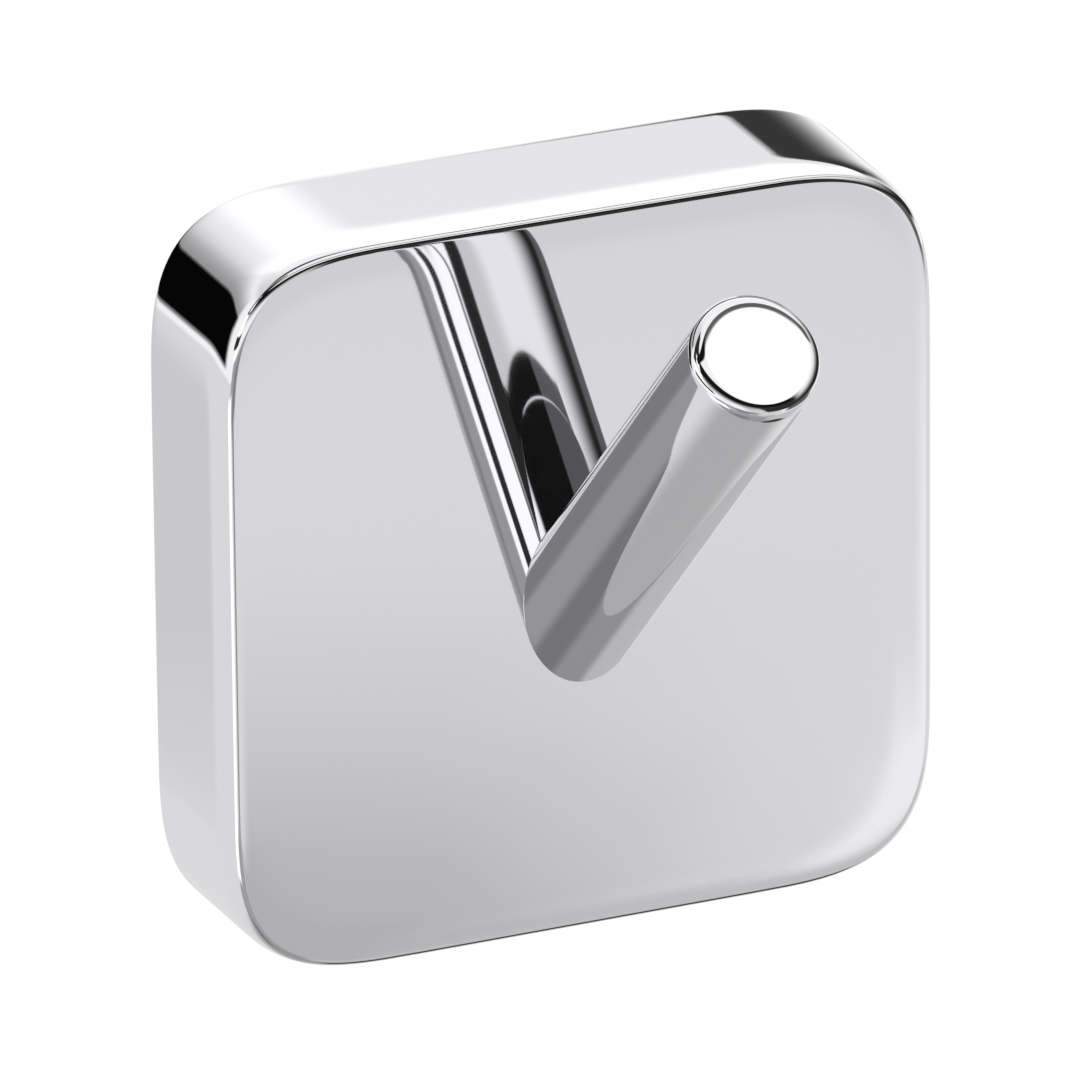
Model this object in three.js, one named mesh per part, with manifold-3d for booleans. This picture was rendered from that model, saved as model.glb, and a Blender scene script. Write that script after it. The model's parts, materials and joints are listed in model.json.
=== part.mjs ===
// Robe hook: a square cover with soft corners slides over a bracket on the wall,
// and one round peg rises from its polished face.
// Millimetres, +Z up. The wall is the plane y = 0, and the hook faces -Y.

import * as THREE from 'three';
import { mergeVertices } from 'three/addons/utils/BufferGeometryUtils.js';
import Module from 'manifold-3d';

// Cover: a die-cast shell, open at the back
const coverWidth = 55;
const coverHeight = 55.5;
const coverDepth = 13.3;
const coverSideWall = 2.2;
const coverFrontWall = 2.6;
const coverDraft = 0.25; // how far each side leans in between rim and face
const cornerReach = 15; // length of side that a corner's curve takes up
const cornerPower = 3.5; // 2 is a quarter circle, more is squarer
const edgeRadius = 0.6; // round between side and face
const rollWidth = 4; // border on each side of that round, over which sides and face fall away to it
const rollPower = 4; // the higher, the nearer to the edge they fall
const sideRollDrop = 0.3;
const faceRollDrop = 0.065;
const cavityFillet = 1.2; // round between the cavity's sides and floor

// Ribs in the cover that guide it over the bracket
const ribThickness = 2;
const ribSpacing = 18; // between the two ribs on each side
const ribLeadIn = 1.2;
const ribSetBack = 1; // from the wall to a rib's end

// Peg: a round bar, mitred to stand on the face
const pegRadius = 4.75;
const pegAngle = 44; // degrees above level
const pegLength = 42; // along the axis, from the face to the end
const pegEndRadius = 1;
const pegBaseHeight = -1.7; // where the axis meets the face, from the cover's centre

// Peg fixing: screw, split washer and pin, on a pad behind the front wall
const pegScrewRadius = 2;
const pegScrewHeadRadius = 3.8;
const pegScrewHeadHeight = 2.6;
const pegTapWall = 1; // least metal left round the tapped hole
const pegTapRoom = 0.5; // empty end of the tapped hole
const lockWasherRadius = 3.6;
const lockWasherThickness = 0.9;
const lockWasherSplit = 0.9;
const padRadius = 9;
const padHeight = 1.4;
const pinRadius = 0.75;
const pinDepth = 1.2; // how far the pin enters the peg
const pinSkin = 0.5; // least metal left round the pin's hole
const pinChamfer = 0.2;

// Wall bracket: a pressed channel with its flanges at top and bottom
const bracketWidth = 40;
const bracketHeight = 38;
const bracketPlate = 2;
const bracketReach = 8; // how far the flanges stand out from the wall
const bracketBend = 1; // inner radius of the bends
const flangeCorner = 3;
const slotLength = 7;
const slotClearance = 0.4;
const reliefMargin = 1.6; // coined relief round each slot, for the plug's rim
const reliefDepth = 0.5;

// Wall screws and plugs
const wallScrewSpacing = 20;
const wallScrewRadius = 2;
const wallScrewHeadRadius = 3.8;
const wallScrewHeadHeight = 2.6;
const wallScrewLength = 32; // under the head
const wallScrewPoint = 6;
const plugRadius = 3.4;
const plugLength = 27;
const plugSetBack = 0.3;
const plugRim = 1.5;
const plugNeck = 8; // unsplit front end
const plugSplit = 0.9;
const plugToothDepth = 0.5;
const plugToothCount = 6;
const plugTipRadius = 2.7;

// Grub screw in the cover's underside
const grubRadius = 2;
const grubRecess = 0.45; // from the cover's underside to the screw's lower end
const grubFromWall = 5;
const grubBossRadius = 4.2;
const grubBossGap = 1; // between the boss and the bracket
const grubSocket = 2; // across the flats
const grubSocketDepth = 3;
const grubCupRadius = 1.2;
const grubCupDepth = 0.6;
const grubChamfer = 0.4;

// Screw heads
const recessWidth = 1;
const recessSpan = 4.4;
const recessDepth = 1.5;
const headEdge = 0.8; // straight edge below the dome
const screwChamfer = 0.6;

// Clearances
const slideClearance = 0.3; // bracket to the cover's ribs and to the grub screw
const holeClearance = 0.25; // screw in a plain hole
const threadClearance = 0.1; // screw or pin in its own hole

// Facets
const cornerSteps = 12;
const edgeSteps = 4;
const rollSteps = 3;
const filletSteps = 3;
const bendSteps = 6;
const arcSteps = 8;
const domeSteps = 5;
const pegSides = 48;
const roundSides = 32;
const smallSides = 24;

// Tool settings: cutters overshoot what they cut, and corners this close are one
const overcut = 1;
const weldDistance = 1e-4;

// Sizes that follow from the ones above
const coverLean = coverDraft / coverDepth;
const floorDepth = coverDepth - coverFrontWall;
const insideFront = coverDepth - coverFrontWall / 2; // middle of the front wall
const insideSide = coverSideWall / 2; // from the rim's outside to the middle of the wall
const pegTilt = THREE.MathUtils.degToRad(pegAngle);
const pegBaseHalf = pegRadius / Math.cos(pegTilt);
const tapRadius = pegScrewRadius + threadClearance;
const tapRise = pegBaseHalf - tapRadius - pegTapWall / Math.cos(pegTilt);
const tapDepth = (2 * tapRise) / Math.tan(pegTilt);
const pegScrewHeight = pegBaseHeight + tapRise;
const pinHoleRadius = pinRadius + threadClearance;
const pinDrop = pegBaseHalf - pinHoleRadius - pinSkin / Math.cos(pegTilt) - pinDepth * Math.tan(pegTilt);
const pinHeight = pegBaseHeight - pinDrop;
const padDepth = floorDepth - padHeight;
const slotHalfWidth = wallScrewRadius + slotClearance;
const grubLength = coverHeight / 2 - grubRecess - bracketHeight / 2 - slideClearance;

const wasm = await Module();
wasm.setup();

// Closed solid of a geometry, with shared corners welded and collapsed triangles left out
function solidOf(geometry) {
  const bare = new THREE.BufferGeometry();
  bare.setAttribute('position', geometry.getAttribute('position'));
  bare.setIndex(geometry.getIndex());
  const welded = mergeVertices(bare, weldDistance);
  const corners = welded.getIndex().array;
  const kept = [];
  for (let i = 0; i < corners.length; i += 3) {
    const [a, b, c] = corners.slice(i, i + 3);
    if (a !== b && b !== c && c !== a) kept.push(a, b, c);
  }
  const mesh = new wasm.Mesh({
    numProp: 3,
    vertProperties: new Float32Array(welded.getAttribute('position').array),
    triVerts: new Uint32Array(kept),
  });
  return new wasm.Manifold(mesh);
}

function geometryOf(solid) {
  const mesh = solid.getMesh();
  const geometry = new THREE.BufferGeometry();
  geometry.setAttribute('position', new THREE.BufferAttribute(mesh.vertProperties, 3));
  geometry.setIndex(new THREE.BufferAttribute(mesh.triVerts, 1));
  geometry.computeVertexNormals();
  return geometry;
}

function joined(solids) {
  return solids.reduce((whole, solid) => whole.add(solid));
}

function without(body, cutters) {
  return cutters.reduce((left, cutter) => left.subtract(cutter), body);
}

// Revolved solid about the Y axis; the profile is [radius, y] pairs with the outside running towards +Y
function turned(profile, sides) {
  const points = profile.map(([radius, y]) => new THREE.Vector2(radius, y));
  return solidOf(new THREE.LatheGeometry(points, sides));
}

// Round rod along Y between two depths from the wall
function rodAlongY(radius, nearDepth, farDepth, height, sides) {
  const rod = new THREE.CylinderGeometry(radius, radius, farDepth - nearDepth, sides);
  rod.translate(0, -(nearDepth + farDepth) / 2, height);
  return solidOf(rod);
}

// Extrusion of a side view: the shape's x runs along Y and its y along Z, centred on x = 0
function extrudedAcross(shape, thickness) {
  const options = { depth: thickness, bevelEnabled: false, curveSegments: bendSteps };
  const geometry = new THREE.ExtrudeGeometry(shape, options);
  geometry.translate(0, 0, -thickness / 2);
  const alongY = new THREE.Vector3(0, 1, 0);
  const alongZ = new THREE.Vector3(0, 0, 1);
  const alongX = new THREE.Vector3(1, 0, 0);
  return geometry.applyMatrix4(new THREE.Matrix4().makeBasis(alongY, alongZ, alongX));
}

// Extrusion of a plan view along Z between two heights
function extrudedUp(shape, lowest, highest) {
  const options = { depth: highest - lowest, bevelEnabled: false, curveSegments: arcSteps };
  return new THREE.ExtrudeGeometry(shape, options).translate(0, 0, lowest);
}

// Extrusion of a front view towards the viewer between two depths from the wall
function extrudedOut(shape, nearDepth, farDepth, steps) {
  const options = { depth: farDepth - nearDepth, bevelEnabled: false, curveSegments: steps };
  return new THREE.ExtrudeGeometry(shape, options).rotateX(Math.PI / 2).translate(0, -nearDepth, 0);
}

// Stadium of a given width and overall length, lying along x
function stadium(halfWidth, length) {
  const straight = length / 2 - halfWidth;
  const shape = new THREE.Shape();
  shape.absarc(straight, 0, halfWidth, -Math.PI / 2, Math.PI / 2);
  shape.absarc(-straight, 0, halfWidth, Math.PI / 2, (3 * Math.PI) / 2);
  shape.closePath();
  return shape;
}

// Cover outline in the front view, inset all round: straight sides with superelliptic corners
function coverOutline(inset) {
  const reach = cornerReach - inset;
  const straightX = coverWidth / 2 - cornerReach;
  const straightZ = coverHeight / 2 - cornerReach;
  const curve = (part) => reach * Math.pow(part, 2 / cornerPower);
  const outline = [];
  for (let corner = 0; corner < 4; corner++) {
    const signX = corner === 0 || corner === 3 ? 1 : -1;
    const signZ = corner < 2 ? 1 : -1;
    for (let step = 0; step <= cornerSteps; step++) {
      const angle = ((corner + step / cornerSteps) * Math.PI) / 2;
      const x = signX * (straightX + curve(Math.abs(Math.cos(angle))));
      const z = signZ * (straightZ + curve(Math.abs(Math.sin(angle))));
      outline.push(new THREE.Vector2(x, z));
    }
  }
  return outline;
}

// Solid through a row of cover outlines, each with its inset and its depth from the wall
function coverLoft(rings) {
  const outlines = rings.map(({ inset }) => coverOutline(inset));
  const count = outlines[0].length;
  const positions = [];
  outlines.forEach((outline, row) => {
    for (const { x, y } of outline) positions.push(x, -rings[row].depth, y);
  });
  const index = [];
  for (let row = 0; row + 1 < rings.length; row++) {
    for (let k = 0; k < count; k++) {
      const next = (k + 1) % count;
      const [a, b] = [row * count + k, row * count + next];
      index.push(a, b, b + count, a, b + count, a + count);
    }
  }
  const last = (rings.length - 1) * count;
  for (const [a, b, c] of THREE.ShapeUtils.triangulateShape(outlines[0], [])) index.push(a, c, b);
  for (const [a, b, c] of THREE.ShapeUtils.triangulateShape(outlines.at(-1), [])) {
    index.push(last + a, last + b, last + c);
  }
  const geometry = new THREE.BufferGeometry();
  geometry.setAttribute('position', new THREE.Float32BufferAttribute(positions, 3));
  geometry.setIndex(index);
  return solidOf(geometry);
}

// Outside of the cover: drafted sides that roll inwards, a small round edge, then a face that rolls flat
function coverOutside() {
  const rollSlope = rollPower / rollWidth;
  const edgeStart = Math.atan(coverLean + rollSlope * sideRollDrop);
  const edgeEnd = Math.PI / 2 - Math.atan(rollSlope * faceRollDrop);
  const shoulder = coverDepth - faceRollDrop - edgeRadius * (Math.sin(edgeEnd) - Math.sin(edgeStart));
  const rings = [{ inset: 0, depth: 0 }];
  for (let step = 0; step < rollSteps; step++) {
    const part = step / rollSteps;
    const depth = shoulder - rollWidth * (1 - part);
    rings.push({ inset: coverLean * depth + sideRollDrop * part ** rollPower, depth });
  }
  const edgeFoot = coverLean * shoulder + sideRollDrop;
  for (let step = 0; step <= edgeSteps; step++) {
    const turn = edgeStart + (edgeEnd - edgeStart) * (step / edgeSteps);
    const inset = edgeFoot + edgeRadius * (Math.cos(edgeStart) - Math.cos(turn));
    rings.push({ inset, depth: shoulder + edgeRadius * (Math.sin(turn) - Math.sin(edgeStart)) });
  }
  const edgeInset = rings.at(-1).inset;
  for (let step = 1; step <= rollSteps; step++) {
    const part = step / rollSteps;
    const depth = coverDepth - faceRollDrop * (1 - part) ** rollPower;
    rings.push({ inset: edgeInset + rollWidth * part, depth });
  }
  return coverLoft(rings);
}

// Hollow of the cover, open at the wall, with the draft of the outside and a round where it meets the floor
function coverHollow() {
  const insetAt = (depth) => coverSideWall + coverLean * depth;
  const rings = [{ inset: insetAt(-overcut), depth: -overcut }];
  const start = floorDepth - cavityFillet;
  for (let step = 0; step <= filletSteps; step++) {
    const turn = (Math.PI / 2) * (step / filletSteps);
    const inset = insetAt(start) + cavityFillet * (1 - Math.cos(turn));
    rings.push({ inset, depth: start + cavityFillet * Math.sin(turn) });
  }
  return coverLoft(rings);
}

// Rib from the cover's wall to the bracket, with a lead-in at its open end; it points up until it is turned
function guideRib(bracketFace, coverHalf) {
  const near = bracketFace + slideClearance;
  const far = coverHalf - insideSide;
  const rib = new THREE.Shape();
  rib.moveTo(-insideFront, near);
  rib.lineTo(-ribSetBack - ribLeadIn, near);
  rib.lineTo(-ribSetBack, near + ribLeadIn);
  rib.lineTo(-ribSetBack, far);
  rib.lineTo(-insideFront, far);
  return extrudedAcross(rib, ribThickness);
}

function guideRibs() {
  const ribs = [];
  for (const offset of [-ribSpacing / 2, ribSpacing / 2]) {
    ribs.push(guideRib(bracketHeight / 2, coverHeight / 2).translate(offset, 0, 0));
    for (const turn of [-Math.PI / 2, Math.PI / 2]) {
      ribs.push(guideRib(bracketWidth / 2, coverWidth / 2).rotateY(turn).translate(0, 0, offset));
    }
  }
  return ribs.map(solidOf);
}

// Boss for the grub screw: round towards the wall, and run into the front wall on the other side
function grubBoss() {
  const plan = new THREE.Shape();
  plan.moveTo(grubBossRadius, -insideFront);
  plan.lineTo(grubBossRadius, -grubFromWall);
  plan.absarc(0, -grubFromWall, grubBossRadius, 0, Math.PI);
  plan.lineTo(-grubBossRadius, -insideFront);
  const lowest = -(coverHeight / 2 - insideSide);
  return solidOf(extrudedUp(plan, lowest, -(bracketHeight / 2 + grubBossGap)));
}

function grubHole() {
  const radius = grubRadius + threadClearance;
  const height = coverHeight / 2;
  const hole = new THREE.CylinderGeometry(radius, radius, height, smallSides);
  hole.rotateX(Math.PI / 2);
  hole.translate(0, -grubFromWall, -bracketHeight / 2 - height / 2);
  return solidOf(hole);
}

function coverSolid() {
  const pad = rodAlongY(padRadius, padDepth, insideFront, pegBaseHeight, roundSides);
  const shell = joined([coverOutside().subtract(coverHollow()), pad, grubBoss(), ...guideRibs()]);
  const reach = coverDepth + overcut;
  return without(shell, [
    rodAlongY(pegScrewRadius + holeClearance, 0, reach, pegScrewHeight, smallSides),
    rodAlongY(pinHoleRadius, 0, reach, pinHeight, smallSides),
    grubHole(),
  ]);
}

// Peg: a bar with a rounded rim, cut off square to the wall, with its two holes in the cut
function pegSolid() {
  const tail = pegRadius * Math.tan(pegTilt) + overcut;
  const profile = [[0, -tail], [pegRadius, -tail]];
  for (let step = 0; step <= edgeSteps; step++) {
    const turn = (Math.PI / 2) * (step / edgeSteps);
    const radius = pegRadius - pegEndRadius * (1 - Math.cos(turn));
    profile.push([radius, pegLength - pegEndRadius * (1 - Math.sin(turn))]);
  }
  profile.push([0, pegLength]);
  const bar = turned(profile, pegSides)
    .rotate([180 - pegAngle, 0, 0])
    .translate([0, -coverDepth, pegBaseHeight]);
  const behind = new THREE.BoxGeometry(coverWidth, coverDepth + pegLength, coverHeight);
  behind.translate(0, pegLength / 2 - coverDepth / 2, 0);
  return without(bar, [
    solidOf(behind),
    rodAlongY(tapRadius, 0, coverDepth + tapDepth, pegScrewHeight, smallSides),
    rodAlongY(pinHoleRadius, 0, coverDepth + pinDepth + threadClearance, pinHeight, smallSides),
  ]);
}

// Pan-head screw along Y: head towards +Y, seat at y = 0, and a cross recess
function panHeadScrew({ radius, headRadius, headHeight, length, tipRadius, tipLength }) {
  const profile = [[0, -length], [tipRadius, -length], [radius, tipLength - length], [radius, 0]];
  profile.push([headRadius, 0]);
  for (let step = 0; step <= domeSteps; step++) {
    const turn = (Math.PI / 2) * (step / domeSteps);
    profile.push([headRadius * Math.cos(turn), headEdge + (headHeight - headEdge) * Math.sin(turn)]);
  }
  const slit = (x, z) => {
    const cutter = new THREE.BoxGeometry(x, recessDepth + overcut, z);
    return solidOf(cutter.translate(0, headHeight + (overcut - recessDepth) / 2, 0));
  };
  const cross = [slit(recessSpan, recessWidth), slit(recessWidth, recessSpan)];
  return without(turned(profile, smallSides), cross);
}

function pegScrewSolid() {
  const seat = padDepth - lockWasherThickness;
  const screw = panHeadScrew({
    radius: pegScrewRadius,
    headRadius: pegScrewHeadRadius,
    headHeight: pegScrewHeadHeight,
    length: coverDepth + tapDepth - pegTapRoom - seat,
    tipRadius: pegScrewRadius - screwChamfer,
    tipLength: screwChamfer,
  });
  return screw.translate([0, -seat, pegScrewHeight]);
}

// Split washer, pressed flat between the pad and the screw's head
function lockWasherSolid() {
  const bore = pegScrewRadius + holeClearance;
  const outerHalf = Math.asin(lockWasherSplit / 2 / lockWasherRadius);
  const innerHalf = Math.asin(lockWasherSplit / 2 / bore);
  const ring = new THREE.Shape();
  ring.absarc(0, 0, lockWasherRadius, outerHalf, 2 * Math.PI - outerHalf, false);
  ring.absarc(0, 0, bore, 2 * Math.PI - innerHalf, innerHalf, true);
  ring.closePath();
  const geometry = extrudedOut(ring, padDepth - lockWasherThickness, padDepth, smallSides);
  return solidOf(geometry.translate(0, 0, pegScrewHeight));
}

function locatingPinSolid() {
  const length = coverDepth + pinDepth - padDepth;
  const tip = pinRadius - pinChamfer;
  const profile = [[0, 0], [tip, 0], [pinRadius, pinChamfer]];
  profile.push([pinRadius, length - pinChamfer], [tip, length], [0, length]);
  return turned(profile, smallSides).translate([0, -coverDepth - pinDepth, pinHeight]);
}

// Bracket: a bent channel with round flange corners, two crossed slots and a relief behind each slot
function bracketSolid() {
  const half = bracketHeight / 2;
  const outerBend = bracketBend + bracketPlate;
  const bendAt = half - outerBend;
  const quarter = Math.PI / 2;
  const side = new THREE.Shape();
  side.moveTo(-bracketReach, half);
  side.lineTo(-bracketReach, half - bracketPlate);
  side.absarc(-outerBend, bendAt, bracketBend, quarter, 0, true);
  side.absarc(-outerBend, -bendAt, bracketBend, 0, -quarter, true);
  side.lineTo(-bracketReach, bracketPlate - half);
  side.lineTo(-bracketReach, -half);
  side.absarc(-outerBend, -bendAt, outerBend, -quarter, 0, false);
  side.absarc(-outerBend, bendAt, outerBend, 0, quarter, false);
  side.closePath();
  const channel = solidOf(extrudedAcross(side, bracketWidth));

  const roundAt = bracketWidth / 2 - flangeCorner;
  const plan = new THREE.Shape();
  plan.moveTo(bracketWidth / 2, overcut);
  plan.lineTo(-bracketWidth / 2, overcut);
  plan.absarc(-roundAt, flangeCorner - bracketReach, flangeCorner, Math.PI, 3 * quarter, false);
  plan.absarc(roundAt, flangeCorner - bracketReach, flangeCorner, 3 * quarter, 4 * quarter, false);
  plan.closePath();
  const envelope = solidOf(extrudedUp(plan, -half - overcut, half + overcut));

  const cutters = [];
  for (const [height, turn] of [[wallScrewSpacing / 2, 0], [-wallScrewSpacing / 2, Math.PI / 2]]) {
    const reliefHalf = slotHalfWidth + reliefMargin;
    const slotShape = stadium(slotHalfWidth, slotLength);
    const reliefShape = stadium(reliefHalf, slotLength + 2 * reliefMargin);
    const slot = extrudedOut(slotShape, -overcut, bracketPlate + overcut, arcSteps);
    const relief = extrudedOut(reliefShape, -overcut, reliefDepth, arcSteps);
    for (const cut of [slot, relief]) cutters.push(solidOf(cut.rotateY(turn).translate(0, 0, height)));
  }
  return without(channel.intersect(envelope), cutters);
}

function wallScrewSolid() {
  const screw = panHeadScrew({
    radius: wallScrewRadius,
    headRadius: wallScrewHeadRadius,
    headHeight: wallScrewHeadHeight,
    length: wallScrewLength,
    tipRadius: 0,
    tipLength: wallScrewPoint,
  });
  return screw.rotate([0, 0, 180]).translate([0, -bracketPlate, 0]);
}

// Wall plug: a toothed sleeve, split from its far end up to its neck
function wallPlugSolid() {
  const bore = wallScrewRadius + holeClearance;
  const end = plugSetBack + plugLength;
  const toothPitch = (plugLength - plugNeck - plugRim) / plugToothCount;
  const profile = [[bore, plugSetBack], [plugRadius, plugSetBack], [plugRadius, plugSetBack + plugNeck]];
  for (let tooth = 0; tooth < plugToothCount; tooth++) {
    const start = plugSetBack + plugNeck + tooth * toothPitch;
    profile.push([plugRadius - plugToothDepth, start], [plugRadius, start + toothPitch]);
  }
  profile.push([plugTipRadius, end], [bore, end], [bore, plugSetBack]);
  const split = new THREE.BoxGeometry(2 * plugRadius + overcut, plugLength - plugNeck, plugSplit);
  split.translate(0, end - (plugLength - plugNeck) / 2 + overcut, 0);
  return turned(profile, smallSides).subtract(solidOf(split));
}

// Grub screw: hex socket below, cup point above
function grubScrewSolid() {
  const profile = [
    [0, 0],
    [grubRadius - grubChamfer, 0],
    [grubRadius, grubChamfer],
    [grubRadius, grubLength - (grubRadius - grubCupRadius)],
    [grubCupRadius, grubLength],
    [0, grubLength - grubCupDepth],
  ];
  const hexRadius = grubSocket / Math.sqrt(3);
  const socket = new THREE.CylinderGeometry(hexRadius, hexRadius, grubSocketDepth + overcut, 6);
  socket.translate(0, (grubSocketDepth - overcut) / 2, 0);
  const lowest = grubRecess - coverHeight / 2;
  return turned(profile, smallSides)
    .subtract(solidOf(socket))
    .rotate([90, 0, 0])
    .translate([0, -grubFromWall, lowest]);
}

// Finishes
const chrome = new THREE.MeshStandardMaterial({ color: 0xf1f0f3, roughness: 0.05, metalness: 1 });
const zincPlate = new THREE.MeshStandardMaterial({ color: 0xb4b6b4, roughness: 0.4, metalness: 1 });
const stainless = new THREE.MeshStandardMaterial({ color: 0xa9abae, roughness: 0.25, metalness: 1 });
const blackSteel = new THREE.MeshStandardMaterial({ color: 0x3c3d40, roughness: 0.45, metalness: 1 });
const nylon = new THREE.MeshStandardMaterial({ color: 0xa7a9a6, roughness: 0.6, metalness: 0 });

function piece(name, solid, material) {
  const mesh = new THREE.Mesh(geometryOf(solid), material);
  mesh.name = name;
  return mesh;
}

// What stays on the wall
const onWall = new THREE.Group();
onWall.add(piece('wall_bracket', bracketSolid(), zincPlate));
for (const [place, height] of [['upper', wallScrewSpacing / 2], ['lower', -wallScrewSpacing / 2]]) {
  const screw = piece(`wall_screw_${place}`, wallScrewSolid(), stainless);
  const plug = piece(`wall_plug_${place}`, wallPlugSolid(), nylon);
  screw.position.z = height;
  plug.position.z = height;
  onWall.add(screw, plug);
}

// What pulls off the bracket
const pullOff = new THREE.Group();
pullOff.add(
  piece('cover', coverSolid(), chrome),
  piece('peg', pegSolid(), chrome),
  piece('peg_screw', pegScrewSolid(), stainless),
  piece('peg_lock_washer', lockWasherSolid(), stainless),
  piece('locating_pin', locatingPinSolid(), stainless),
  piece('grub_screw', grubScrewSolid(), blackSteel),
);

const robeHook = new THREE.Group();
robeHook.add(onWall, pullOff);
export default robeHook;
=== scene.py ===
# %% [markdown]
# # A square robe hook in polished chrome
#
# The hook is a hollow square cover with soft corners, pushed over a bracket on the wall, and one straight
# round peg that rises from its face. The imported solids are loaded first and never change: they say where
# everything is. Each piece below is then made again with a finer surface, at the same place and size.

# %% The frame and its units
import json

import bpy
import numpy as np
from mathutils import Matrix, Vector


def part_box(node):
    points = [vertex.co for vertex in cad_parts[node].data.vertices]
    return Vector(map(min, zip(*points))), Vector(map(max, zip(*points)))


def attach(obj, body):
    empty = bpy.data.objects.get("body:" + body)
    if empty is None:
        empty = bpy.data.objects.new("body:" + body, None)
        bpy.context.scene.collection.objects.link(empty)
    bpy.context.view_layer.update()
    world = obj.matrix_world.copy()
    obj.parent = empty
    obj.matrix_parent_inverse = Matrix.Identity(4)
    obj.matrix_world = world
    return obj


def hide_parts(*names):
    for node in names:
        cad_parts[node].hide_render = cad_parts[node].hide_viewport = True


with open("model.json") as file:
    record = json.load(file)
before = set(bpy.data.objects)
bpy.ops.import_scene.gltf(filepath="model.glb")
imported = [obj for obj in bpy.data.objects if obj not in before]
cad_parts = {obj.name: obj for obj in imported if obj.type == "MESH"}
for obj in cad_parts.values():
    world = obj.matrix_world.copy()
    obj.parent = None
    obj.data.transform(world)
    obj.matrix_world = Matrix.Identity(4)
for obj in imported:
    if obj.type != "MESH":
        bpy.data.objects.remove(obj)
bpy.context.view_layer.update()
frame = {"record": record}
scene = bpy.context.scene

MM = 0.001
record = frame["record"]
slot_of = {part["node"]: part["material_slot"] for part in record["subparts"]}
body_of = {node: body for body, nodes in record["behaviour"]["bodies"].items() for node in nodes}


def box_of(node):
    """Lowest and highest corner of a solid, as arrays in metres."""
    low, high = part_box(node)
    return np.array(low), np.array(high)


# %% [markdown]
# ## Finishes
#
# A material here is a small tree of nodes. A few helpers keep each tree readable: one turns a colour that is
# written as on a paint chart into the linear numbers that light is worked out in, one adds a node, sets what
# is fixed on it and connects what varies, and one lets a value drift with a noise.

# %% Colours and nodes


def linear(code):
    """Linear red, green, blue and alpha of an sRGB hex colour, by the standard two-part curve."""
    parts = np.array([int(code[i:i + 2], 16) for i in (1, 3, 5)]) / 255
    low, high = parts / 12.92, ((parts + 0.055) / 1.055) ** 2.4
    return (*np.where(parts <= 0.04045, low, high), 1.0)


def add_node(tree, kind, settings=None, **links):
    """Adds a node, with fixed settings and with links from other nodes.

    A setting goes to the socket of its name, or else to the node itself. A link's name has _ for a space.
    """
    node = tree.nodes.new("ShaderNode" + kind)
    for name, value in (settings or {}).items():
        if name in node.inputs:
            node.inputs[name].default_value = value
        else:
            setattr(node, name, value)
    for name, source in links.items():
        tree.links.new(source, node.inputs[name.replace("_", " ")])
    return node


def new_finish(name):
    """A new material and its node tree, with no nodes in it yet."""
    finish = bpy.data.materials.new(name)
    finish.use_nodes = True
    finish.node_tree.nodes.clear()
    return finish, finish.node_tree


def drift(tree, noise, span):
    """A value that follows a noise from the low end of a span to the high one."""
    low, high = span
    return add_node(tree, "MapRange", {"To Min": low, "To Max": high}, Value=noise.outputs["Fac"])


# %% [markdown]
# ### Polished chrome plate
#
# The cover is die-cast zinc, buffed by hand and plated with nickel and chrome. The plate itself is a cool,
# almost perfect mirror. Buffing leaves a slow waviness, which bends straight reflections a little, and very
# faint wipe marks that change the sharpness from place to place. Both are noise at millimetre scale.

# %% Chrome plate
CHROME_COLOUR = "#f1f0f3"
BUFFING_WAVE = 18 * MM
BUFFING_HEIGHT = 0.008 * MM
WIPE_SIZE = 9 * MM
CHROME_ROUGHNESS = 0.015, 0.045


def chrome_finish():
    """Mirror plate: roughness follows soft wipe marks, and the bump is a slow wave of a few microns."""
    finish, tree = new_finish("polished_chrome_plate")
    place = add_node(tree, "TexCoord").outputs["Object"]
    wipe = add_node(tree, "TexNoise", {"Scale": 1 / WIPE_SIZE, "Detail": 3}, Vector=place)
    gloss = drift(tree, wipe, CHROME_ROUGHNESS)
    wave = add_node(tree, "TexNoise", {"Scale": 1 / BUFFING_WAVE, "Detail": 1}, Vector=place)
    bump = add_node(tree, "Bump", {"Distance": BUFFING_HEIGHT}, Height=wave.outputs["Fac"])
    metal = add_node(
        tree, "BsdfPrincipled", {"Base Color": linear(CHROME_COLOUR), "Metallic": 1},
        Roughness=gloss.outputs["Result"], Normal=bump.outputs["Normal"],
    )
    add_node(tree, "OutputMaterial", Surface=metal.outputs["BSDF"])
    return finish


polished_chrome = chrome_finish()
print("finish:", polished_chrome.name)

# %% [markdown]
# ### Plate inside the cover
#
# Nobody buffs the inside of a casting. The plating reaches it thinly and lies over the grain of the die, so it
# is the same metal but dull and slightly pebbled. A second finish on the inner faces shows that.

# %% Chrome on the raw casting
CASTING_COLOUR = "#c3c4c6"
CASTING_PEBBLE = 0.7 * MM
CASTING_HEIGHT = 0.02 * MM
CASTING_PATCH = 8 * MM
CASTING_ROUGHNESS = 0.3, 0.5


def casting_finish():
    """Dull plate: fine noise as pebbles, and roughness that drifts in patches."""
    finish, tree = new_finish("chrome_on_raw_casting")
    place = add_node(tree, "TexCoord").outputs["Object"]
    patch = add_node(tree, "TexNoise", {"Scale": 1 / CASTING_PATCH, "Detail": 4}, Vector=place)
    gloss = drift(tree, patch, CASTING_ROUGHNESS)
    pebble = add_node(tree, "TexNoise", {"Scale": 1 / CASTING_PEBBLE, "Detail": 2}, Vector=place)
    bump = add_node(tree, "Bump", {"Distance": CASTING_HEIGHT}, Height=pebble.outputs["Fac"])
    metal = add_node(
        tree, "BsdfPrincipled", {"Base Color": linear(CASTING_COLOUR), "Metallic": 1},
        Roughness=gloss.outputs["Result"], Normal=bump.outputs["Normal"],
    )
    add_node(tree, "OutputMaterial", Surface=metal.outputs["BSDF"])
    return finish


raw_casting = casting_finish()
print("finish:", raw_casting.name)

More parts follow.
